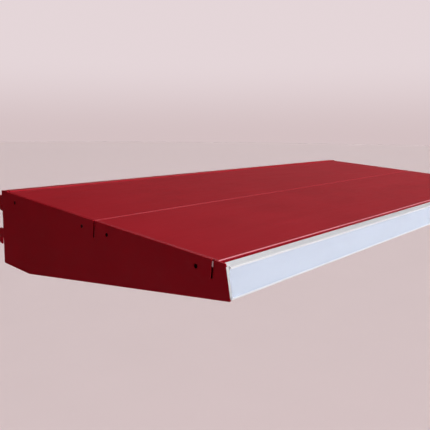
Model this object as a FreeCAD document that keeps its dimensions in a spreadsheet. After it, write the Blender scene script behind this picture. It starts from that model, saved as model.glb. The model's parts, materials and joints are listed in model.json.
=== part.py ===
"""Gondola shop shelf: two side brackets, two lift-off deck panels and a hinged price rail.

Row frame, in millimetres: X runs along the shelf, Y points back towards the uprights, Z is up.
The origin is at mid-length, on the front plane of the uprights, at the brackets' rear top corner.

Most pieces are drawn in the deck frame, which is the row frame tipped forward by deck_slope:
"u" is the distance forward along the deck and "w" the height above it.
"""
import FreeCAD, Part
import math
import os
import re
import Sketcher

DIMENSIONS = {
    # whole shelf
    "shelf_length": 998.0,
    "deck_slope": 4.0,
    # side brackets: outline corners in the deck frame, depths below the deck
    "plate": 2.0,
    "ear_u": 18.0,
    "nose_top_u": 434.6,
    "nose_u": 444.0,
    "nose_w": 35.2,
    "chamfer_u": 84.5,
    "chamfer_w": 106.3,
    "heel_u": 15.4,
    "heel_w": 107.8,
    "bracket_flange": 12.0,
    "bracket_flange_rear_end": 8.0,
    "bracket_flange_front_end": 12.0,
    "bracket_bend": 1.6,
    "nose_round": 2.4,
    "corner_round": 2.0,
    # slots in the brackets' top edges
    "seam_u": 229.6,
    "seam_slot": 3.2,
    "seam_slot_depth": 21.0,
    "front_slot_u": 419.0,
    "front_slot": 2.8,
    "front_slot_depth": 19.0,
    # panel studs
    "stud_w": 12.0,
    "stud_radius": 2.4,
    "stud_hole_radius": 2.45,
    "stud_head_radius": 4.5,
    "stud_head": 1.5,
    "stud_recess": 0.25,
    "stud_rear_u": 40.4,
    "stud_seam_offset": 24.9,
    "stud_front_u": 397.4,
    # hook plates, in the row frame
    "hook_plate": 3.0,
    "hook_plate_inset": 0.3,
    "hook_plate_bevel": 12.0,
    "hook_plate_toe": 8.0,
    "hook_plate_neck": 16.0,
    "hook_plate_width": 42.0,
    "hook_plate_shoulder": 34.0,
    "hook_plate_bottom": 104.0,
    "hook_pitch": 50.0,
    "hook_top": 8.0,
    "hook_neck": 14.0,
    "hook_drop": 10.0,
    "hook_throat": 3.0,
    "hook_reach": 11.0,
    "hook_lead": 3.0,
    "hook_round": 3.0,
    # rear crossbar
    "crossbar_rear_u": 1.6,
    "crossbar_depth": 28.0,
    "crossbar_lip": 8.0,
    "crossbar_return": 12.0,
    "crossbar_sheet": 1.2,
    "crossbar_bend": 1.8,
    # deck panels
    "deck_sheet": 0.8,
    "deck_bend": 1.3,
    "deck_front_u": 424.4,
    "deck_flange": 30.0,
    "deck_return": 10.0,
    "deck_end_flange": 26.0,
    "panel_gap": 0.6,
    "seam_gap": 1.0,
    "side_gap": 0.3,
    "tab_top": 1.6,
    "tab_bottom": 7.2,
    "tab_recess": 0.1,
    "seam_tab_recess": 1.5,
    "front_tab": 2.0,
    "slot_clearance": 0.4,
    "notch_clearance": 0.3,
    "end_flange_inset": 0.2,
    # stiffening channels
    "channel_width": 74.0,
    "channel_web": 46.0,
    "channel_depth": 16.0,
    "channel_sheet": 1.0,
    "channel_setback": 30.0,
    # price rail
    "rail_wall": 1.0,
    "rail_back": 0.7,
    "rail_ahead": 0.1,
    "rail_end_inset": 0.2,
    "corner_cut": 4.4,
    "corner_cut_w": 8.2,
    "rail_top_w": 3.0,
    "rail_bottom_w": 32.8,
    "band_rear_u": 431.2,
    "band_rear_w": 0.4,
    "band_step_u": 435.7,
    "band_front_u": 438.4,
    "band_front_w": 3.5,
    "rail_edge_w": 5.2,
    "rail_lip": 0.6,
    "rail_lip_front_u": 445.5,
    "rail_lip_top_w": 31.0,
    "leg_top_w": 9.0,
    "leg_foot": 6.0,
    "tape": 1.2,
    "tape_height": 8.0,
    "cover_wall": 0.6,
    "cover_gap": 0.3,
    "cover_bottom_w": 30.7,
    "cover_bottom_u": 444.9,
    "insert_wall": 0.25,
    "insert_gap": 0.12,
    "insert_top_w": 4.7,
    "insert_bottom_w": 31.6,
    "insert_end_inset": 2.6,
}

NEAR = 1e-3
SHEET_NAME = re.compile(r"[a-z][a-z_]+")

doc = FreeCAD.newDocument("shop_shelf")
sheet = doc.addObject("Spreadsheet::Sheet", "Sheet")
for row, (alias, size) in enumerate(DIMENSIONS.items(), start=1):
    sheet.set(f"A{row}", alias)
    sheet.set(f"B{row}", str(size))
    sheet.setAlias(f"B{row}", alias)
doc.recompute()


def bound(formula):
    """The formula as an expression, with each dimension's name looked up on the sheet."""
    return SHEET_NAME.sub(
        lambda word: "Sheet." + word[0] if word[0] in DIMENSIONS else word[0], str(formula))


# Lines that several outlines share, as heights or distances in the deck frame.
NOSE_TILT = "(nose_u - nose_top_u) / nose_w"
BELLY_SLOPE = "(chamfer_w - nose_w) / (nose_u - chamfer_u)"
LEVEL = "tan(deck_slope)"
PANEL_HALF = "(shelf_length / 2 - plate - side_gap)"


def nose_line(depth, ahead="0"):
    """Distance forward of the brackets' front edge at a depth below the deck, plus a bit more."""
    return f"nose_top_u + ({depth}) * {NOSE_TILT} + ({ahead})"


def belly_line(forward):
    """Depth below the deck of the brackets' long lower edge."""
    return f"chamfer_w - (({forward}) - chamfer_u) * {BELLY_SLOPE}"


# ---------------------------------------------------------------- building blocks

def new_body(label, tipped=True, x_offset="0"):
    """An empty body, in the deck frame or (tipped=False) in the row frame."""
    body = doc.addObject("PartDesign::Body", label)
    body.Label = label
    if tipped:
        body.Placement = FreeCAD.Placement(
            FreeCAD.Vector(), FreeCAD.Rotation(FreeCAD.Vector(1, 0, 0), DIMENSIONS["deck_slope"]))
        body.setExpression("Placement.Rotation.Angle", bound("deck_slope"))
    body.setExpression("Placement.Base.x", bound(x_offset))
    return body


def side_sketch(body, name, points, offset="0"):
    """A closed outline on the body's side plane, its corners given as (forward, up) formulas."""
    plane = next(item for item in body.Origin.OriginFeatures if item.Role == "YZ_Plane")
    sketch = body.newObject("Sketcher::SketchObject", name)
    sketch.AttachmentSupport = [(plane, "")]
    sketch.MapMode = "FlatFace"
    sketch.setExpression("AttachmentOffset.Base.z", bound(offset))
    count = len(points)
    ring = [FreeCAD.Vector(100 * math.cos(2 * math.pi * (index + 0.3) / count),
                           100 * math.sin(2 * math.pi * (index + 0.3) / count), 0)
            for index in range(count)]
    for index in range(count):
        sketch.addGeometry(Part.LineSegment(ring[index], ring[(index + 1) % count]))
    for index in range(count):
        sketch.addConstraint(Sketcher.Constraint("Coincident", index, 2, (index + 1) % count, 1))
    for index, (forward, up) in enumerate(points):
        across = sketch.addConstraint(
            Sketcher.Constraint("DistanceX", -1, 1, index, 1, ring[index].x))
        sketch.setExpression(f"Constraints[{across}]", bound(f"-({forward})"))
        height = sketch.addConstraint(
            Sketcher.Constraint("DistanceY", -1, 1, index, 1, ring[index].y))
        sketch.setExpression(f"Constraints[{height}]", bound(up))
    return sketch


def side_circle(body, name, forward, up, radius, offset="0"):
    """A circle on the body's side plane."""
    plane = next(item for item in body.Origin.OriginFeatures if item.Role == "YZ_Plane")
    sketch = body.newObject("Sketcher::SketchObject", name)
    sketch.AttachmentSupport = [(plane, "")]
    sketch.MapMode = "FlatFace"
    sketch.setExpression("AttachmentOffset.Base.z", bound(offset))
    sketch.addGeometry(Part.Circle(FreeCAD.Vector(-10, -10, 0), FreeCAD.Vector(0, 0, 1), 3))
    across = sketch.addConstraint(Sketcher.Constraint("DistanceX", -1, 1, 0, 3, -10))
    sketch.setExpression(f"Constraints[{across}]", bound(f"-({forward})"))
    height = sketch.addConstraint(Sketcher.Constraint("DistanceY", -1, 1, 0, 3, -10))
    sketch.setExpression(f"Constraints[{height}]", bound(up))
    size = sketch.addConstraint(Sketcher.Constraint("Radius", 0, 3))
    sketch.setExpression(f"Constraints[{size}]", bound(radius))
    return sketch


def pad(body, sketch, length, side="One side", reverse=False):
    """The sketch padded along X."""
    feature = body.newObject("PartDesign::Pad", sketch.Name + "_pad")
    feature.Profile = sketch
    feature.setExpression("Length", bound(length))
    feature.SideType = side
    feature.Reversed = reverse
    return feature


def pocket(body, sketch, length, reverse):
    """The sketch cut along X, checked to have removed something."""
    doc.recompute()
    before = body.Shape.Volume
    feature = body.newObject("PartDesign::Pocket", sketch.Name + "_cut")
    feature.Profile = sketch
    feature.setExpression("Length", bound(length))
    feature.Reversed = reverse
    doc.recompute()
    if body.Shape.Volume >= before - NEAR:
        raise RuntimeError(f"{feature.Name} cut nothing")
    return feature


def rounded(body, name, radius, picked):
    """A fillet on every straight edge of the body's tip that picked(start, end) accepts."""
    doc.recompute()
    base = body.Tip
    edges = [f"Edge{number}" for number, edge in enumerate(base.Shape.Edges, start=1)
             if len(edge.Vertexes) == 2 and picked(edge.Vertexes[0].Point, edge.Vertexes[1].Point)]
    if not edges:
        raise RuntimeError(f"{name} found no edges")
    feature = body.newObject("PartDesign::Fillet", name)
    feature.Base = (base, edges)
    feature.setExpression("Radius", bound(radius))
    return feature


def mirrored(body, name, originals):
    """The features repeated at the other end of the piece."""
    plane = next(item for item in body.Origin.OriginFeatures if item.Role == "YZ_Plane")
    feature = body.newObject("PartDesign::Mirrored", name)
    feature.Originals = originals
    feature.MirrorPlane = (plane, [""])
    body.Tip = feature
    return feature


def along_x_at(forward, up):
    """Accepts an edge along X through one point of the side outline."""
    def picked(start, end):
        return all(abs(point.y + forward) < NEAR and abs(point.z - up) < NEAR
                   for point in (start, end))
    return picked


# ---------------------------------------------------------------- side brackets

def bracket(label, side):
    """A tapered side plate; side is -1 for the left one and 1 for the right one."""
    body = new_body(label, x_offset=f"{side} * shelf_length / 2")
    inward = side > 0
    outline = side_sketch(body, label + "_outline", [
        ("0", "0"),
        ("ear_u", f"ear_u * {LEVEL}"),
        ("ear_u", "0"),
        ("nose_top_u", "0"),
        ("nose_u", "-nose_w"),
        ("chamfer_u", "-chamfer_w"),
        ("heel_u", "-heel_w"),
    ])
    pad(body, outline, "plate", reverse=inward)
    size = DIMENSIONS
    rounded(body, label + "_nose", "nose_round", along_x_at(size["nose_u"], -size["nose_w"]))
    for number, (forward, depth) in enumerate([("heel_u", "heel_w"), ("chamfer_u", "chamfer_w")]):
        rounded(body, f"{label}_corner_{number}", "corner_round",
                along_x_at(size[forward], -size[depth]))

    rear_end = "chamfer_u + bracket_flange_rear_end"
    front_end = "nose_u - bracket_flange_front_end"
    flange = side_sketch(body, label + "_flange", [
        (rear_end, f"-({belly_line(rear_end)})"),
        (front_end, f"-({belly_line(front_end)})"),
        (front_end, f"plate - ({belly_line(front_end)})"),
        (rear_end, f"plate - ({belly_line(rear_end)})"),
    ])
    pad(body, flange, "bracket_flange", reverse=inward)

    slope = (size["chamfer_w"] - size["nose_w"]) / (size["nose_u"] - size["chamfer_u"])

    def on_lower_edge(start, end):
        return abs(start.y - end.y) > NEAR and all(
            abs(point.x) < NEAR
            and abs(point.z + size["chamfer_w"] + (point.y + size["chamfer_u"]) * slope) < NEAR
            for point in (start, end))
    rounded(body, label + "_bend", "bracket_bend", on_lower_edge)

    for number, (centre, width, depth) in enumerate([
            ("seam_u", "seam_slot", "seam_slot_depth"),
            ("front_slot_u", "front_slot", "front_slot_depth")]):
        slot = side_sketch(body, f"{label}_slot_{number}", [
            (f"{centre} - {width} / 2", "plate"),
            (f"{centre} + {width} / 2", "plate"),
            (f"{centre} + {width} / 2", f"-{depth}"),
            (f"{centre} - {width} / 2", f"-{depth}"),
        ])
        pocket(body, slot, "2 * plate", reverse=not inward)
    for number, forward in enumerate(STUD_PLACES):
        hole = side_circle(body, f"{label}_hole_{number}", forward, "-stud_w", "stud_hole_radius")
        pocket(body, hole, "2 * plate", reverse=not inward)
    return body


STUD_PLACES = ["stud_rear_u", "seam_u - stud_seam_offset", "seam_u + stud_seam_offset",
               "stud_front_u"]

bracket("left_bracket", -1)
bracket("right_bracket", 1)


def hook_plate(label, side):
    """The thicker plate inside a bracket, with the hooks that enter the upright's slots."""
    body = new_body(label, tipped=False, x_offset=f"{side} * (shelf_length / 2 - plate)")
    lean = "(heel_u - heel_w * tan(deck_slope)) / heel_w"

    def rear(depth):
        return f"({depth}) * {lean}"

    corners = [
        ("hook_plate_inset", "-hook_plate_inset"),
        ("hook_plate_neck", "-hook_plate_inset"),
        ("hook_plate_neck", "-hook_plate_shoulder"),
        ("hook_plate_width", "-hook_plate_shoulder - hook_plate_bevel"),
        ("hook_plate_width", "-hook_plate_bottom + hook_plate_toe"),
        ("hook_plate_width - hook_plate_toe", "-hook_plate_bottom"),
        (rear("hook_plate_bottom"), "-hook_plate_bottom"),
    ]
    for hook in (1, 0):
        top = f"hook_top + {hook} * hook_pitch"
        bottom = f"{top} + hook_neck"
        corners += [
            (rear(bottom), f"-({bottom})"),
            ("-hook_throat", f"-({bottom})"),
            ("-hook_throat", f"-({bottom} + hook_drop)"),
            ("-hook_reach", f"-({bottom} + hook_drop - hook_lead)"),
            ("-hook_reach", f"-({top})"),
            (rear(top), f"-({top})"),
        ]
    outline = side_sketch(body, label + "_outline", corners)
    pad(body, outline, "hook_plate", reverse=side > 0)

    def hook_back(start, end):
        reach = DIMENSIONS["hook_reach"]
        tops = [DIMENSIONS["hook_top"] + hook * DIMENSIONS["hook_pitch"] for hook in (0, 1)]
        return (abs(start.y - reach) < NEAR and abs(end.y - reach) < NEAR
                and abs(start.x - end.x) > NEAR and any(abs(start.z + top) < NEAR for top in tops))
    rounded(body, label + "_hook_backs", "hook_round", hook_back)
    return body


hook_plate("left_hook_plate", -1)
hook_plate("right_hook_plate", 1)


def rear_crossbar():
    """The folded bar that ties the brackets together behind the deck; its top is level."""
    body = new_body("rear_crossbar")
    inner_rear = "crossbar_rear_u + crossbar_sheet"
    inner_front = "ear_u - crossbar_sheet"
    section = side_sketch(body, "crossbar_section", [
        ("crossbar_rear_u", f"crossbar_rear_u * {LEVEL}"),
        ("ear_u", f"ear_u * {LEVEL}"),
        ("ear_u", "-crossbar_depth"),
        ("ear_u - crossbar_return", "-crossbar_depth"),
        ("ear_u - crossbar_return", "-crossbar_depth + crossbar_sheet"),
        (inner_front, "-crossbar_depth + crossbar_sheet"),
        (inner_front, f"({inner_front}) * {LEVEL} - crossbar_sheet"),
        (inner_rear, f"({inner_rear}) * {LEVEL} - crossbar_sheet"),
        (inner_rear, "-crossbar_lip"),
        ("crossbar_rear_u", "-crossbar_lip"),
    ])
    pad(body, section, "shelf_length - 2 * plate - 2 * hook_plate", side="Symmetric")
    front = DIMENSIONS["ear_u"]
    top = front * math.tan(math.radians(DIMENSIONS["deck_slope"]))
    rear = DIMENSIONS["crossbar_rear_u"]
    rear_top = rear * math.tan(math.radians(DIMENSIONS["deck_slope"]))
    rounded(body, "crossbar_front_bend", "crossbar_bend", along_x_at(front, top))
    rounded(body, "crossbar_bottom_bend", "crossbar_bend",
            along_x_at(front, -DIMENSIONS["crossbar_depth"]))
    rounded(body, "crossbar_rear_bend", "crossbar_bend", along_x_at(rear, rear_top))
    return body


rear_crossbar()


# ---------------------------------------------------------------- panel studs

def panel_studs(label, side):
    """The four shouldered studs of one bracket, as a group of separate solids."""
    outer_x = f"{side} * (shelf_length / 2 - stud_recess)"
    shank = "(plate - stud_recess + 2 * side_gap + deck_sheet)"
    studs = []
    for number, forward in enumerate(STUD_PLACES):
        parts = []
        for kind, radius, length, start in (
                ("shank", "stud_radius", shank, "0"),
                ("head", "stud_head_radius", "stud_head", shank)):
            cylinder = doc.addObject("Part::Cylinder", f"{label}_{kind}_{number}")
            cylinder.setExpression("Radius", bound(radius))
            cylinder.setExpression("Height", bound(length))
            cylinder.Placement = FreeCAD.Placement(
                FreeCAD.Vector(), FreeCAD.Rotation(FreeCAD.Vector(0, 1, 0), -90 * side))
            cylinder.setExpression(
                "Placement.Base.x", bound(f"{outer_x} - {side} * {start}"))
            cylinder.setExpression(
                "Placement.Base.y",
                bound(f"-({forward}) * cos(deck_slope) + stud_w * sin(deck_slope)"))
            cylinder.setExpression(
                "Placement.Base.z",
                bound(f"-({forward}) * sin(deck_slope) - stud_w * cos(deck_slope)"))
            parts.append(cylinder)
        stud = doc.addObject("Part::MultiFuse", f"{label}_stud_{number}")
        stud.Shapes = parts
        studs.append(stud)
    group = doc.addObject("Part::Compound", label)
    group.Label = label
    group.Links = studs
    return group


panel_studs("left_panel_studs", -1)
panel_studs("right_panel_studs", 1)


# ---------------------------------------------------------------- deck panels

def deck_panel(label, rear, front, tilt, studs, tabs):
    """A folded tray, open below: deck, front and rear flanges with returns, and two end flanges.

    rear and front are the outer faces at deck level, tilt is the front flange's lean,
    studs are where the end flanges are notched, and tabs give each end tab's rear face,
    its thickness and how far it stops short of the bracket's outer face.
    """
    body = new_body(label)
    foot = f"{front} + deck_flange * {tilt}"
    inner_foot = f"{front} + (deck_flange - deck_sheet) * {tilt} - deck_sheet"
    section = side_sketch(body, label + "_section", [
        (rear, "0"),
        (front, "0"),
        (foot, "-deck_flange"),
        (f"{foot} - deck_return", "-deck_flange"),
        (f"{foot} - deck_return", "-deck_flange + deck_sheet"),
        (inner_foot, "-deck_flange + deck_sheet"),
        (f"{front} + deck_sheet * {tilt} - deck_sheet", "-deck_sheet"),
        (f"{rear} + deck_sheet", "-deck_sheet"),
        (f"{rear} + deck_sheet", "-deck_flange + deck_sheet"),
        (f"{rear} + deck_return", "-deck_flange + deck_sheet"),
        (f"{rear} + deck_return", "-deck_flange"),
        (rear, "-deck_flange"),
    ])
    pad(body, section, f"2 * {PANEL_HALF}", side="Symmetric")

    notch = "(stud_radius + notch_clearance)"
    flange_rear = f"{rear} + end_flange_inset"
    flange_front = f"{front} - end_flange_inset"
    outline = [
        (flange_rear, "-end_flange_inset"),
        (flange_front, "-end_flange_inset"),
        (flange_front, "-deck_end_flange"),
    ]
    for place in reversed(studs):
        outline += [
            (f"{place} + {notch}", "-deck_end_flange"),
            (f"{place} + {notch}", f"-stud_w + {notch}"),
            (f"{place} - {notch}", f"-stud_w + {notch}"),
            (f"{place} - {notch}", "-deck_end_flange"),
        ]
    outline.append((flange_rear, "-deck_end_flange"))
    end_flange = side_sketch(body, label + "_end_flange", outline, offset=PANEL_HALF)
    end_pad = pad(body, end_flange, "deck_sheet", reverse=True)
    mirrored(body, label + "_other_end_flange", [end_pad])

    def on_deck_rim(start, end):
        return abs(start.z) < NEAR and abs(end.z) < NEAR
    rounded(body, label + "_bends", "deck_bend", on_deck_rim)

    tab_pads = []
    for number, (place, thickness, recess) in enumerate(tabs):
        tab = side_sketch(body, f"{label}_tab_{number}", [
            (place, "-tab_top"),
            (f"{place} + {thickness}", "-tab_top"),
            (f"{place} + {thickness}", "-tab_bottom"),
            (place, "-tab_bottom"),
        ], offset=f"{PANEL_HALF} - deck_sheet")
        tab_pads.append(pad(body, tab, f"deck_sheet + side_gap + plate - {recess}"))
    mirrored(body, label + "_other_tabs", tab_pads)
    return body


REAR_PANEL_REAR = "(ear_u + panel_gap)"
REAR_PANEL_FRONT = "(seam_u - seam_gap / 2)"
FRONT_PANEL_REAR = "(seam_u + seam_gap / 2)"

deck_panel(
    "rear_deck_panel", REAR_PANEL_REAR, REAR_PANEL_FRONT, "0", STUD_PLACES[:2],
    [(f"{REAR_PANEL_FRONT} - deck_sheet", "deck_sheet", "seam_tab_recess")])
deck_panel(
    "front_deck_panel", FRONT_PANEL_REAR, "deck_front_u", NOSE_TILT, STUD_PLACES[2:],
    [
        (FRONT_PANEL_REAR, "deck_sheet", "seam_tab_recess"),
        ("front_slot_u - front_slot / 2 + slot_clearance", "front_tab", "tab_recess"),
    ])


def stiffener(label, centre):
    """The hat-shaped channel welded under a deck panel."""
    body = new_body(label)
    top = "-deck_sheet"
    corners = []
    for hand in ("-", "+"):
        corners.append([
            (f"{centre} {hand} channel_width / 2", top),
            (f"{centre} {hand} (channel_web / 2 - channel_sheet)", top),
            (f"{centre} {hand} (channel_web / 2 - channel_sheet)", f"{top} - channel_depth + channel_sheet"),
            (f"{centre} {hand} channel_web / 2", f"{top} - channel_depth"),
            (f"{centre} {hand} channel_web / 2", f"{top} - channel_sheet"),
            (f"{centre} {hand} channel_width / 2", f"{top} - channel_sheet"),
        ])
    rear_half, front_half = corners
    section = side_sketch(
        body, label + "_section",
        rear_half[:3] + front_half[2::-1] + front_half[:2:-1] + rear_half[3:])
    pad(body, section, "shelf_length - 2 * channel_setback", side="Symmetric")
    return body


stiffener("rear_stiffener", f"({REAR_PANEL_REAR} + {REAR_PANEL_FRONT}) / 2")
stiffener("front_stiffener", f"({FRONT_PANEL_REAR} + deck_front_u) / 2")


# ---------------------------------------------------------------- price rail

BETWEEN_BRACKETS = f"2 * {PANEL_HALF}"
OVER_BRACKETS = "shelf_length - 2 * rail_end_inset"
INSIDE_CORNER_CUTS = "shelf_length - 2 * corner_cut"
INSERT_LENGTH = "shelf_length - 2 * insert_end_inset"
BAND_SLOPE = "(band_front_w - band_rear_w) / (band_front_u - band_rear_u)"
BAND_STEP_W = f"(band_rear_w + (band_step_u - band_rear_u) * {BAND_SLOPE})"
HOOK_LEG_W = "deck_flange + cover_gap"
COVER_TOP_W = "(rail_edge_w + cover_gap)"
COVER_LEAN = f"((cover_bottom_u - band_front_u) / (cover_bottom_w - {COVER_TOP_W}))"
CARD_AHEAD = "rail_ahead + rail_back + insert_gap"


def extrusion(label, walls):
    """A long plastic or tape piece made of straight walls: each a name, a length and a section."""
    body = new_body(label)
    for name, length, corners in walls:
        sketch = side_sketch(body, f"{label}_{name}", corners)
        pad(body, sketch, length, side="Symmetric")
    return body


def leaning(top_w, bottom_w, ahead, thickness):
    """Corners of a wall parallel to the brackets' front edge, set ahead of it."""
    return [
        (nose_line(top_w, ahead), f"-({top_w})"),
        (nose_line(top_w, f"{ahead} + {thickness}"), f"-({top_w})"),
        (nose_line(bottom_w, f"{ahead} + {thickness}"), f"-({bottom_w})"),
        (nose_line(bottom_w, ahead), f"-({bottom_w})"),
    ]


def on_panel(below, ahead="0"):
    """Distance forward of the front deck panel's leaning front face, at a depth below the deck."""
    return f"deck_front_u + ({below}) * {NOSE_TILT} + ({ahead})"


def leg(depth, rear_top, rear_bottom):
    """Corners of a leg that runs back from inside the rail's back wall."""
    front = "rail_ahead + rail_back / 2"
    return [
        (rear_top, f"-({depth})"),
        (nose_line(depth, front), f"-({depth})"),
        (nose_line(depth, front), f"-({depth} + rail_wall)"),
        (rear_bottom, f"-({depth} + rail_wall)"),
    ]


def against_panel(rear, front):
    """Corners of a strip that lies along the panel's front face, rear and front ahead of it."""
    top, bottom = "leg_top_w", "leg_top_w + tape_height"
    return [
        (on_panel(top, rear), f"-({top})"),
        (on_panel(top, front), f"-({top})"),
        (on_panel(bottom, front), f"-({bottom})"),
        (on_panel(bottom, rear), f"-({bottom})"),
    ]


extrusion("price_rail", [
    ("back", OVER_BRACKETS, leaning("rail_top_w", "rail_bottom_w", "rail_ahead", "rail_back")),
    ("band_rear", BETWEEN_BRACKETS, [
        ("band_rear_u", "-band_rear_w"),
        ("band_step_u", f"-{BAND_STEP_W}"),
        ("band_step_u", f"-{BAND_STEP_W} - rail_wall"),
        ("band_rear_u", "-band_rear_w - rail_wall"),
    ]),
    ("band_front", INSIDE_CORNER_CUTS, [
        ("band_step_u", f"-{BAND_STEP_W}"),
        ("band_front_u", "-band_front_w"),
        ("band_front_u", "-band_front_w - rail_wall"),
        ("band_step_u", f"-{BAND_STEP_W} - rail_wall"),
    ]),
    ("edge", INSIDE_CORNER_CUTS, [
        ("band_front_u - rail_wall", "-band_front_w - rail_wall / 2"),
        ("band_front_u", "-band_front_w"),
        ("band_front_u", "-rail_edge_w"),
        ("band_front_u - rail_wall", "-rail_edge_w"),
    ]),
    ("floor", OVER_BRACKETS, [
        (nose_line("rail_bottom_w - rail_wall", "rail_ahead"), "rail_wall - rail_bottom_w"),
        ("rail_lip_front_u", "rail_wall - rail_bottom_w"),
        ("rail_lip_front_u", "-rail_bottom_w"),
        (nose_line("rail_bottom_w", "rail_ahead"), "-rail_bottom_w"),
    ]),
    ("lip", OVER_BRACKETS, [
        ("rail_lip_front_u - rail_lip", "-rail_lip_top_w"),
        ("rail_lip_front_u", "-rail_lip_top_w"),
        ("rail_lip_front_u", "-rail_bottom_w"),
        ("rail_lip_front_u - rail_lip", "-rail_bottom_w"),
    ]),
    ("upper_leg", BETWEEN_BRACKETS, leg(
        "leg_top_w", on_panel("leg_top_w", "tape"), on_panel("leg_top_w + rail_wall", "tape"))),
    ("foot_leg", BETWEEN_BRACKETS, leg(
        HOOK_LEG_W, on_panel("deck_flange", "-leg_foot"), on_panel("deck_flange", "-leg_foot"))),
    ("tape_pad", BETWEEN_BRACKETS, against_panel("tape", "tape + rail_wall")),
])

extrusion("rail_tape", [("strip", BETWEEN_BRACKETS, against_panel("0", "tape"))])



def pane(top_w, bottom_w):
    """Corners of a stretch of the cover between two depths below the deck."""
    top_u, bottom_u = (
        f"band_front_u + ({depth} - {COVER_TOP_W}) * {COVER_LEAN}" for depth in (top_w, bottom_w))
    return [
        (f"{top_u} - cover_wall", f"-({top_w})"),
        (top_u, f"-({top_w})"),
        (bottom_u, f"-({bottom_w})"),
        (f"{bottom_u} - cover_wall", f"-({bottom_w})"),
    ]


extrusion("rail_cover", [
    ("pane_top", INSIDE_CORNER_CUTS, pane(COVER_TOP_W, "corner_cut_w")),
    ("pane", INSERT_LENGTH, pane("corner_cut_w", "cover_bottom_w")),
])

extrusion("label_strip", [
    ("card_top", INSIDE_CORNER_CUTS, leaning("insert_top_w", "corner_cut_w", CARD_AHEAD, "insert_wall")),
    ("card", INSERT_LENGTH, leaning("corner_cut_w", "insert_bottom_w", CARD_AHEAD, "insert_wall")),
])

# ---------------------------------------------------------------- checks and files

doc.recompute()
pieces = [item for item in doc.Objects if item.TypeId in ("PartDesign::Body", "Part::Compound")]
for item in doc.Objects:
    if "Invalid" in item.State or "Error" in item.State:
        raise RuntimeError(f"{item.Name} failed: {item.State}")
os.makedirs("parts", exist_ok=True)
for piece in pieces:
    if piece.Shape.isNull() or not piece.Shape.isValid():
        raise RuntimeError(f"{piece.Label} has no valid shape")
    piece.Shape.exportStep(f"parts/{piece.Label}.step")
    box = piece.Shape.BoundBox
    print(
        f"{piece.Label}: {len(piece.Shape.Solids)} solids, {piece.Shape.Volume / 1000:.2f} cm3, "
        f"x {box.XMin:.1f}..{box.XMax:.1f} "
        f"y {box.YMin:.1f}..{box.YMax:.1f} "
        f"z {box.ZMin:.1f}..{box.ZMax:.1f}")
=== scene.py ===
"""A red powder-coated gondola shop shelf with a white price rail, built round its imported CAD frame."""
import json
import math

import bmesh
import bpy
from mathutils import Matrix, Vector


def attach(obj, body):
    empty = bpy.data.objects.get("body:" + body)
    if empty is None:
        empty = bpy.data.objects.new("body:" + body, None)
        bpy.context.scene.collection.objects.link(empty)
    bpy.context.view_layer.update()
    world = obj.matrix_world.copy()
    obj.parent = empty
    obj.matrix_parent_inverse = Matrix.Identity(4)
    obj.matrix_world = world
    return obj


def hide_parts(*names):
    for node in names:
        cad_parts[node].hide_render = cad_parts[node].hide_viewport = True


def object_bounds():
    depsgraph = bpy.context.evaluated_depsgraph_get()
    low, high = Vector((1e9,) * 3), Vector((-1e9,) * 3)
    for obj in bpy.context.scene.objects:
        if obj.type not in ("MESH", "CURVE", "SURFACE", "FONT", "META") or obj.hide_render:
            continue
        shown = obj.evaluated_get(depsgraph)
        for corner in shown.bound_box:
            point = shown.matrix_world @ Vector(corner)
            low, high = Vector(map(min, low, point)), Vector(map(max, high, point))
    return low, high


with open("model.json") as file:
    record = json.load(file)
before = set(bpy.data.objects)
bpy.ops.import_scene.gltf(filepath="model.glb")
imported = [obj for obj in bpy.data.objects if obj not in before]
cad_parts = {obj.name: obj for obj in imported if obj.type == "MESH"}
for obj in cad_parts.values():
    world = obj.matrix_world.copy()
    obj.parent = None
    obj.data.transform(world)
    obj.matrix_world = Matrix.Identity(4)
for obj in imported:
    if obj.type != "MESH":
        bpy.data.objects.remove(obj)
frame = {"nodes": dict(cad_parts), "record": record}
CAD_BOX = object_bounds()
NODES = frame["nodes"]
MM = 0.001


# ---------------------------------------------------------------- materials

# A Mix node's sockets for colours: its other sockets have the same names.
MIX_COLOURS_IN = slice(6, 8)
MIX_COLOUR_OUT = 2
NOOK_SAMPLES = 8
NOOK_REACH = 6.0 * MM


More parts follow.
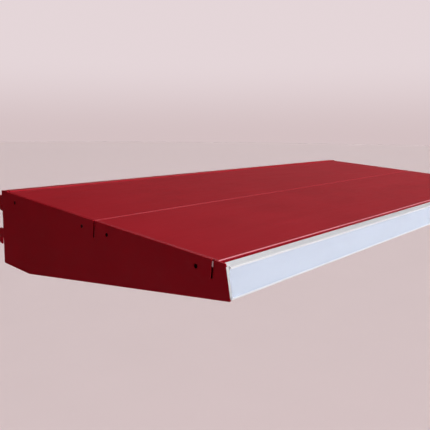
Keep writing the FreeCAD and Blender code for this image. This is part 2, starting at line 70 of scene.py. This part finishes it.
class Shader:
    """A node material, written as short calls that each add one node."""

    def __init__(self, name):
        self.material = bpy.data.materials.new(name)
        self.material.use_nodes = True
        self.nodes = self.material.node_tree.nodes
        self.links = self.material.node_tree.links
        self.surface = self.nodes["Principled BSDF"]
        self.place = self.add("ShaderNodeTexCoord").outputs["Object"]

    def add(self, kind, **settings):
        node = self.nodes.new(kind)
        for name, value in settings.items():
            setattr(node, name, value)
        return node

    def wire(self, source, target):
        if isinstance(source, (int, float, tuple)):
            target.default_value = source
        else:
            self.links.new(source, target)

    def scaled(self, x, y, z):
        """The place on the part, stretched: larger numbers make finer detail that way."""
        node = self.add("ShaderNodeMapping")
        self.wire(self.place, node.inputs["Vector"])
        node.inputs["Scale"].default_value = (x, y, z)
        return node.outputs["Vector"]

    def noise(self, scale, detail, rough, place=None, distortion=0.0):
        node = self.add("ShaderNodeTexNoise")
        self.wire(place or self.place, node.inputs["Vector"])
        node.inputs["Scale"].default_value = scale
        node.inputs["Detail"].default_value = detail
        node.inputs["Roughness"].default_value = rough
        node.inputs["Distortion"].default_value = distortion
        return node.outputs["Fac"]

    def cells(self, scale):
        node = self.add("ShaderNodeTexVoronoi", feature="F1")
        self.wire(self.place, node.inputs["Vector"])
        node.inputs["Scale"].default_value = scale
        return node.outputs["Distance"]

    def math(self, operation, a, b):
        node = self.add("ShaderNodeMath", operation=operation)
        for socket, value in zip(node.inputs, (a, b)):
            self.wire(value, socket)
        return node.outputs[0]

    def ranged(self, value, low, high, to_low, to_high):
        """A value that runs smoothly from to_low to to_high while the given one runs from low to high."""
        node = self.add("ShaderNodeMapRange", interpolation_type="SMOOTHSTEP")
        names = ("Value", "From Min", "From Max", "To Min", "To Max")
        for name, entry in zip(names, (value, low, high, to_low, to_high)):
            self.wire(entry, node.inputs[name])
        return node.outputs["Result"]

    def mix(self, factor, first, second):
        node = self.add("ShaderNodeMix", data_type="RGBA")
        self.wire(factor, node.inputs["Factor"])
        for socket, colour in zip(node.inputs[MIX_COLOURS_IN], (first, second)):
            self.wire((*colour, 1.0) if isinstance(colour, tuple) else colour, socket)
        return node.outputs[MIX_COLOUR_OUT]

    def attribute(self, name):
        """One of the face marks that softened() leaves: 1 where it applies, 0 elsewhere."""
        return self.add("ShaderNodeAttribute", attribute_name=name).outputs["Fac"]

    def nook(self):
        """How open a place is: 1 on a clear face, towards 0 in a slot or a tight corner."""
        node = self.add("ShaderNodeAmbientOcclusion", samples=NOOK_SAMPLES)
        node.inputs["Distance"].default_value = NOOK_REACH
        return node.outputs["AO"]

    def bump(self, height, distance, strength, under=None):
        node = self.add("ShaderNodeBump")
        node.inputs["Strength"].default_value = strength
        node.inputs["Distance"].default_value = distance
        self.wire(height, node.inputs["Height"])
        if under is not None:
            self.wire(under, node.inputs["Normal"])
        return node.outputs["Normal"]

    def finish(self, **sockets):
        """Wires each value to the surface's socket of that name, with _ for a space."""
        for name, value in sockets.items():
            self.wire(value, self.surface.inputs[name.replace("_", " ")])
        return self.material


def powder_coat():
    """Ruby red powder coat: orange peel, a barely wavy sheet, dust, handling marks; bevelled edges
    lighter, partly a thinner coat and partly a painted highlight, and a painted pink highlight on the
    deck panels' bends.

    Slots and tight gaps get painted shade, darkened towards black, and the ends that rub in a bracket's
    slot are paler: bare steel where the paint rubs off, with a pinkish painted highlight.
    """
    s = Shader("red_powder_coat_finish")
    clouds = s.noise(9.0, 4.0, 0.55)
    flecks = s.noise(2600.0, 2.0, 0.6)
    marks = s.noise(1.0, 5.0, 0.6, s.scaled(9.0, 40.0, 26.0), 0.6)
    dust = s.noise(45.0, 6.0, 0.7)
    deep, bright = (0.355, 0.0018, 0.0095), (0.385, 0.0026, 0.0115)
    red = s.mix(s.ranged(clouds, 0.3, 0.7, 0.0, 1.0), deep, bright)
    red = s.mix(s.ranged(flecks, 0.55, 0.8, 0.0, 0.2), red, (0.45, 0.006, 0.018))
    red = s.mix(s.ranged(dust, 0.56, 0.8, 0.0, 0.02), red, (0.5, 0.42, 0.4))
    # Bevelled edges lighter red: partly a thinner coat on edges, partly a painted highlight.
    red = s.mix(s.math("MULTIPLY", s.attribute("edge"), 0.6), red, (0.66, 0.012, 0.026))
    # Painted pink highlight along the deck panels' bends.
    bend_highlight_mask = s.math("MULTIPLY", s.attribute("bend_highlight"), s.ranged(clouds, 0.2, 0.7, 0.7, 1.0))
    red = s.mix(bend_highlight_mask, red, (0.66, 0.26, 0.31))
    # Ends in the bracket slots paler pinkish white: bare steel where paint rubs off, and a painted
    # highlight.
    pale_end_patches = s.ranged(s.noise(700.0, 4.0, 0.6), 0.3, 0.6, 0.6, 1.0)
    red = s.mix(s.math("MULTIPLY", s.attribute("rubbed_and_lit"), pale_end_patches), red, (0.80, 0.62, 0.66))
    # Painted shade: slots and tight gaps darkened towards black.
    red = s.mix(s.ranged(s.nook(), 0.25, 0.75, 0.92, 0.0), red, (0.010, 0.001, 0.003))
    gloss = s.ranged(marks, 0.35, 0.75, 0.28, 0.34)
    gloss = s.math("ADD", gloss, s.ranged(dust, 0.5, 0.8, 0.0, 0.05))
    sheet = s.noise(4.0, 1.0, 0.4, s.scaled(0.7, 1.3, 1.3))
    normal = s.bump(sheet, 1.0 * MM, 0.25)
    normal = s.bump(s.noise(620.0, 2.0, 0.45), 0.06 * MM, 0.5, normal)
    normal = s.bump(s.noise(1900.0, 1.0, 0.5), 0.02 * MM, 0.4, normal)
    s.surface.inputs["IOR"].default_value = 1.5
    s.surface.inputs["Specular IOR Level"].default_value = 0.35
    s.surface.inputs["Specular Tint"].default_value = (1.0, 0.25, 0.35, 1.0)
    return s.finish(Base_Color=red, Roughness=gloss, Normal=normal)


def black_steel():
    """Black oxide on turned steel."""
    s = Shader("dark_steel_finish")
    grain = s.noise(900.0, 3.0, 0.6)
    worn = s.noise(260.0, 4.0, 0.6)
    colour = s.mix(s.ranged(grain, 0.3, 0.7, 0.0, 1.0), (0.012, 0.011, 0.013), (0.030, 0.027, 0.030))
    colour = s.mix(s.ranged(worn, 0.6, 0.8, 0.0, 0.4), colour, (0.11, 0.09, 0.085))
    normal = s.bump(grain, 0.04 * MM, 0.6)
    s.surface.inputs["Metallic"].default_value = 1.0
    return s.finish(Base_Color=colour, Roughness=s.ranged(worn, 0.3, 0.7, 0.34, 0.52), Normal=normal)


def white_plastic():
    """Satin extruded plastic, with the fine lines that the die leaves along it.

    Faces that look up are painted darker as shade, bevelled edges lighter as a painted highlight, and the
    cut ends pinkish white, partly paler cut plastic and partly painted light.
    """
    s = Shader("white_pvc_finish")
    die = s.noise(1.0, 3.0, 0.6, s.scaled(1.2, 1500.0, 1500.0))
    broad = s.noise(1.0, 2.0, 0.5, s.scaled(1.5, 260.0, 260.0))
    dirt = s.noise(60.0, 5.0, 0.65)
    facing = s.add("ShaderNodeSeparateXYZ")
    s.wire(s.add("ShaderNodeNewGeometry").outputs["Normal"], facing.inputs[0])
    upward_shade = s.ranged(facing.outputs["Z"], 0.5, 0.88, 0.0, 1.0)
    colour = s.mix(s.ranged(broad, 0.3, 0.7, 0.0, 1.0), (0.68, 0.69, 0.72), (0.73, 0.74, 0.77))
    # Painted shade: faces that look up darker grey.
    colour = s.mix(upward_shade, colour, (0.53, 0.535, 0.56))
    colour = s.mix(s.ranged(dirt, 0.56, 0.8, 0.0, 0.10), colour, (0.46, 0.42, 0.42))
    # Painted highlight: bevelled edges lighter.
    colour = s.mix(s.attribute("edge"), colour, (0.84, 0.85, 0.90))
    # Cut ends pinkish white: partly paler cut plastic, partly painted light where little light reaches.
    colour = s.mix(s.attribute("rubbed_and_lit"), colour, (0.95, 0.88, 0.93))
    normal = s.bump(die, 0.05 * MM, 0.5)
    s.surface.inputs["IOR"].default_value = 1.53
    s.surface.inputs["Subsurface Weight"].default_value = 1.0
    s.surface.inputs["Subsurface Radius"].default_value = (1.0, 0.95, 1.0)
    s.surface.inputs["Subsurface Scale"].default_value = 2.0 * MM
    return s.finish(Base_Color=colour, Roughness=s.ranged(die, 0.3, 0.7, 0.24, 0.36), Normal=normal)


def clear_plastic():
    """Clear cover, with faint drawing lines."""
    s = Shader("clear_pvc_finish")
    die = s.noise(1.0, 3.0, 0.6, s.scaled(1.0, 1100.0, 1100.0))
    haze = s.noise(70.0, 5.0, 0.6)
    normal = s.bump(die, 0.02 * MM, 0.5)
    s.surface.inputs["IOR"].default_value = 1.5
    s.surface.inputs["Transmission Weight"].default_value = 1.0
    s.surface.inputs["Alpha"].default_value = 0.3
    colour = s.mix(s.ranged(haze, 0.4, 0.8, 0.0, 0.3), (0.965, 0.98, 1.0), (0.90, 0.93, 0.98))
    rough = s.ranged(haze, 0.35, 0.75, 0.05, 0.14)
    return s.finish(Base_Color=colour, Roughness=rough, Normal=normal)


def foam():
    """Closed-cell foam tape."""
    s = Shader("foam_tape_finish")
    pores = s.cells(1400.0)
    tone = s.noise(180.0, 4.0, 0.6)
    colour = s.mix(s.ranged(pores, 0.1, 0.6, 0.0, 1.0), (0.60, 0.60, 0.58), (0.74, 0.74, 0.72))
    colour = s.mix(s.ranged(tone, 0.4, 0.8, 0.0, 0.3), colour, (0.50, 0.49, 0.47))
    normal = s.bump(pores, 0.2 * MM, 0.7)
    return s.finish(Base_Color=colour, Roughness=s.ranged(tone, 0.3, 0.7, 0.82, 0.95), Normal=normal)


def card():
    """Smooth bluish white card with a faint fibre."""
    s = Shader("label_card_finish")
    fibre = s.noise(1.0, 5.0, 0.7, s.scaled(500.0, 1500.0, 1500.0), 1.5)
    streak = s.noise(1.0, 2.0, 0.5, s.scaled(2.0, 420.0, 420.0))
    colour = s.mix(s.ranged(fibre, 0.3, 0.7, 0.0, 1.0), (0.69, 0.77, 0.92), (0.73, 0.81, 0.94))
    colour = s.mix(s.ranged(streak, 0.45, 0.75, 0.0, 0.35), colour, (0.64, 0.73, 0.90))
    normal = s.bump(fibre, 0.03 * MM, 0.5)
    return s.finish(Base_Color=colour, Roughness=s.ranged(fibre, 0.3, 0.7, 0.5, 0.62), Normal=normal)


FINISH = {
    "red_powder_coat": powder_coat(),
    "dark_steel": black_steel(),
    "white_pvc": white_plastic(),
    "clear_pvc": clear_plastic(),
    "foam_tape": foam(),
    "label_card": card(),
}


# ---------------------------------------------------------------- pieces

BODY_OF = {
    node: body
    for body, members in frame["record"]["behaviour"]["bodies"].items()
    for node in members
}


def slot_of(node):
    return NODES[node].material_slots[0].material.name.split(".")[0]


# Nodes whose ends are painted paler, partly as bare rubbed steel and cut plastic, partly as a painted
# highlight where little light reaches: faces that look along the shelf, beyond BARE_BEYOND from its
# middle.
RUBBED_AND_LIT_ENDS = ("front_deck_panel", "price_rail")
BARE_BEYOND = 0.4985
# How strong the painted pink highlight is on each deck panel's bends, and the share of it on bends that
# look back.
BEND_HIGHLIGHT_PAINT = {"rear_deck_panel": 0.1, "front_deck_panel": 1.0}
REAR_BEND_HIGHLIGHT_SHARE = 0.1
DECK_SLOPE = math.radians(4.0)
DECK_UP = Matrix.Rotation(DECK_SLOPE, 3, "X") @ Vector((0.0, 0.0, 1.0))

WELD = 2e-6
FLAT_WITHIN = math.radians(0.6)
SHARP_FROM = math.radians(30.0)
ROUNDING_SEGMENTS = 2


def is_bend(normal):
    """True on a face of a fold along the shelf: neither the deck's flat top nor an upright flange."""
    return abs(normal.x) < 0.3 and 0.35 < normal.dot(DECK_UP) < 0.97


def softened(node, radius):
    """A copy of a CAD node's shape whose edges are rounded, as paint or a press leaves them.

    Its faces are marked for the finishes to read: bevelled faces for lighter edges with a painted
    highlight, the ends for paler paint with a painted highlight, and deck bends for a painted pink
    highlight.
    """
    mesh = bpy.data.meshes.new(node + "_detailed")
    shape = bmesh.new()
    shape.from_mesh(NODES[node].data)
    edge_highlight_layer = shape.faces.layers.float.new("edge")
    rubbed_and_lit = shape.faces.layers.float.new("rubbed_and_lit")
    bend_highlight = shape.faces.layers.float.new("bend_highlight")
    bmesh.ops.remove_doubles(shape, verts=shape.verts, dist=WELD)
    bmesh.ops.dissolve_limit(
        shape, angle_limit=FLAT_WITHIN, verts=shape.verts, edges=shape.edges,
        use_dissolve_boundaries=False)
    edges = [
        edge for edge in shape.edges
        if len(edge.link_faces) == 2 and edge.calc_face_angle(0.0) > SHARP_FROM
    ]
    made = bmesh.ops.bevel(
        shape, geom=edges, offset=radius, offset_type="OFFSET", segments=ROUNDING_SEGMENTS,
        profile=0.5, affect="EDGES", clamp_overlap=False, loop_slide=True)
    # Bevelled faces are marked for lighter edges: a thinner coat and a painted highlight.
    for face in made["faces"]:
        face[edge_highlight_layer] = 1.0
    for face in shape.faces:
        face.smooth = True
        is_end = abs(face.normal.x) > 0.9 and abs(face.calc_center_median().x) > BARE_BEYOND
        # Ends are marked for paler paint and a painted highlight.
        if node in RUBBED_AND_LIT_ENDS and is_end:
            face[rubbed_and_lit] = 1.0
        # Bends are marked for the painted pink highlight.
        if is_bend(face.normal):
            looks_back = face.normal.y >= 0.0
            face[bend_highlight] = BEND_HIGHLIGHT_PAINT.get(node, 0.0) * (REAR_BEND_HIGHLIGHT_SHARE if looks_back else 1.0)
    shape.to_mesh(mesh)
    shape.free()
    piece = bpy.data.objects.new(node + "_detailed", mesh)
    bpy.context.scene.collection.objects.link(piece)
    weighted = piece.modifiers.new("shading", "WEIGHTED_NORMAL")
    weighted.keep_sharp = True
    weighted.weight = 100
    name = slot_of(node)
    mesh.materials.append(FINISH[name])
    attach(piece, BODY_OF[node])
    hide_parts(node)


# Edge radius of each replaced node, in millimetres.
ROUNDING = {
    "left_bracket": 0.45, "right_bracket": 0.45,
    "rear_deck_panel": 0.22, "front_deck_panel": 0.22,
    "rear_stiffener": 0.22, "front_stiffener": 0.22,
    "rear_crossbar": 0.3,
    "left_hook_plate": 0.5, "right_hook_plate": 0.5,
    "price_rail": 0.18, "rail_cover": 0.12, "label_strip": 0.05, "rail_tape": 0.15,
}
for node, radius in ROUNDING.items():
    softened(node, radius * MM)

for node, thing in NODES.items():
    thing.material_slots[0].material = FINISH[slot_of(node)]


# ---------------------------------------------------------------- stage, light and camera

def painted_floor():
    """Matt pinkish floor with a broad, faint change of tone."""
    s = Shader("floor_finish")
    tone = s.noise(3.0, 3.0, 0.5)
    colour = s.mix(tone, (0.75, 0.61, 0.62), (0.78, 0.64, 0.65))
    return s.finish(Base_Color=colour, Roughness=s.ranged(tone, 0.3, 0.7, 0.7, 0.78))


FLOOR_DROP = 0.9
FLOOR_REACH = 30.0
BACKDROP_REACH = FLOOR_REACH * 1.2
# The world is a faint light that grows towards the shelf's right: the cosines from that heading where it
# starts and stops growing, and its strength at each.
ROOM_RANGE = (0.2, 1.0)
ROOM_LIGHT = (0.012, 0.09)
# The backdrop's glow: heights in metres where it starts and stops getting lighter, and its two colours.
GLOW_HEIGHTS = (-1.0, 4.5)
GLOW_LOW, GLOW_HIGH = (0.66, 0.535, 0.545), (0.78, 0.67, 0.69)

floor_mesh = bpy.data.meshes.new("floor")
floor_shape = bmesh.new()
bmesh.ops.create_circle(floor_shape, cap_ends=True, segments=96, radius=FLOOR_REACH)
floor_shape.to_mesh(floor_mesh)
floor_shape.free()
floor_mesh.materials.append(painted_floor())
floor = bpy.data.objects.new("floor", floor_mesh)
floor.location = (0.0, 0.0, CAD_BOX[0].z - FLOOR_DROP)
bpy.context.scene.collection.objects.link(floor)

world = bpy.data.worlds.new("studio")
bpy.context.scene.world = world
world.use_nodes = True
sky = world.node_tree
soft = sky.nodes["Background"]
soft.inputs["Color"].default_value = (1.0, 0.97, 0.985, 1.0)
heading = sky.nodes.new("ShaderNodeTexCoord")
toward_right = sky.nodes.new("ShaderNodeVectorMath")
toward_right.operation = "DOT_PRODUCT"
toward_right.inputs[1].default_value = (1.0, 0.0, 0.0)
room = sky.nodes.new("ShaderNodeMapRange")
room.inputs["From Min"].default_value, room.inputs["From Max"].default_value = ROOM_RANGE
room.inputs["To Min"].default_value, room.inputs["To Max"].default_value = ROOM_LIGHT
sky.links.new(heading.outputs["Generated"], toward_right.inputs[0])
sky.links.new(toward_right.outputs["Value"], room.inputs["Value"])
sky.links.new(room.outputs["Result"], soft.inputs["Strength"])

backdrop_shape = bmesh.new()
bmesh.ops.create_icosphere(backdrop_shape, subdivisions=5, radius=BACKDROP_REACH)
bmesh.ops.reverse_faces(backdrop_shape, faces=backdrop_shape.faces)
backdrop_mesh = bpy.data.meshes.new("backdrop")
backdrop_shape.to_mesh(backdrop_mesh)
backdrop_shape.free()
glow = Shader("backdrop_finish")
height = glow.add("ShaderNodeSeparateXYZ")
glow.wire(glow.place, height.inputs[0])
rising = glow.ranged(height.outputs["Z"], *GLOW_HEIGHTS, 0.0, 1.0)
glow.surface.inputs["Specular IOR Level"].default_value = 0.0
glow.surface.inputs["Emission Strength"].default_value = 1.0
backdrop_mesh.materials.append(glow.finish(
    Base_Color=(0.0, 0.0, 0.0, 1.0),
    Emission_Color=glow.mix(rising, GLOW_LOW, GLOW_HIGH)))
backdrop = bpy.data.objects.new("backdrop", backdrop_mesh)
bpy.context.scene.collection.objects.link(backdrop)
for unseen in ("visible_diffuse", "visible_glossy", "visible_transmission", "visible_shadow"):
    setattr(backdrop, unseen, False)
floor.visible_glossy = False

MIDDLE = (CAD_BOX[0] + CAD_BOX[1]) / 2
LAMP_COLOUR = (1.0, 0.99, 0.985)
SUN_REACH = 3.0


def on_floor(light, state):
    """EXCLUDE keeps a light off the floor, INCLUDE keeps it off everything else."""
    group = bpy.data.collections.new(light.name + "_floor")
    group.objects.link(floor)
    group.collection_objects[0].light_linking.link_state = state
    light.light_linking.receiver_collection = group


def lamp(name, light):
    light.color = LAMP_COLOUR
    made = bpy.data.objects.new(name, light)
    bpy.context.scene.collection.objects.link(made)
    made.visible_camera = False
    return made


def soft_sun(name, toward, strength, spread):
    """A sun of the given spread in degrees, in the direction "toward" from the shelf."""
    light = bpy.data.lights.new(name, "SUN")
    light.energy = strength
    light.angle = math.radians(spread)
    made = lamp(name, light)
    made.location = MIDDLE + Vector(toward).normalized() * SUN_REACH
    made.rotation_euler = Vector(toward).to_track_quat("Z", "Y").to_euler()
    return made


def softbox(name, start, end, tall, power):
    """A strip light between two points, turned to face the shelf."""
    start, end = MIDDLE + Vector(start), MIDDLE + Vector(end)
    along = (end - start).normalized()
    centre = (start + end) / 2
    behind = centre - MIDDLE
    behind = (behind - along * behind.dot(along)).normalized()
    light = bpy.data.lights.new(name, "AREA")
    light.shape = "RECTANGLE"
    light.size = (end - start).length
    light.size_y = tall
    light.energy = power
    made = lamp(name, light)
    axes = Matrix((along, behind.cross(along), behind)).transposed()
    made.matrix_world = Matrix.Translation(centre) @ axes.to_4x4()
    return made


soft_sun("key", (0.38, 0.10, 0.92), 1.7, 60.0)
front = soft_sun("front", (0.30, -1.0, 0.10), 3.3, 50.0)
on_floor(soft_sun("wash", (0.0, 0.0, 1.0), 0.55, 60.0), "INCLUDE")
right = softbox("right", (2.7, -0.45, 0.45), (1.0, -1.6, 1.35), 0.3, 40.0)
on_floor(right, "EXCLUDE")
# Their reflections would glare on the deck from behind and from the left end.
front.visible_glossy = False
right.visible_glossy = False

# The camera that the photo was taken with, as fitted: metres and degrees in the row frame.
EYE = Vector((-0.8838, -0.7474, 0.1024))
YAW, PITCH, ROLL = (math.radians(angle) for angle in (42.6, -2.9, 0.46))
camera_data = bpy.data.cameras.new("camera")
camera_data.sensor_width = 36.0
camera_data.lens = 44.37
camera_data.shift_x = 0.0465
camera_data.shift_y = -0.151
camera_data.clip_start = 0.01
camera_data.clip_end = 200.0
camera = bpy.data.objects.new("camera", camera_data)
bpy.context.scene.collection.objects.link(camera)
forward = Vector((math.cos(PITCH) * math.cos(YAW), math.cos(PITCH) * math.sin(YAW), math.sin(PITCH)))
turn = forward.to_track_quat("-Z", "Y").to_matrix() @ Matrix.Rotation(ROLL, 3, "Z")
camera.matrix_world = Matrix.Translation(EYE) @ turn.to_4x4()
bpy.context.scene.camera = camera
bpy.context.scene.view_settings.view_transform = "Standard"
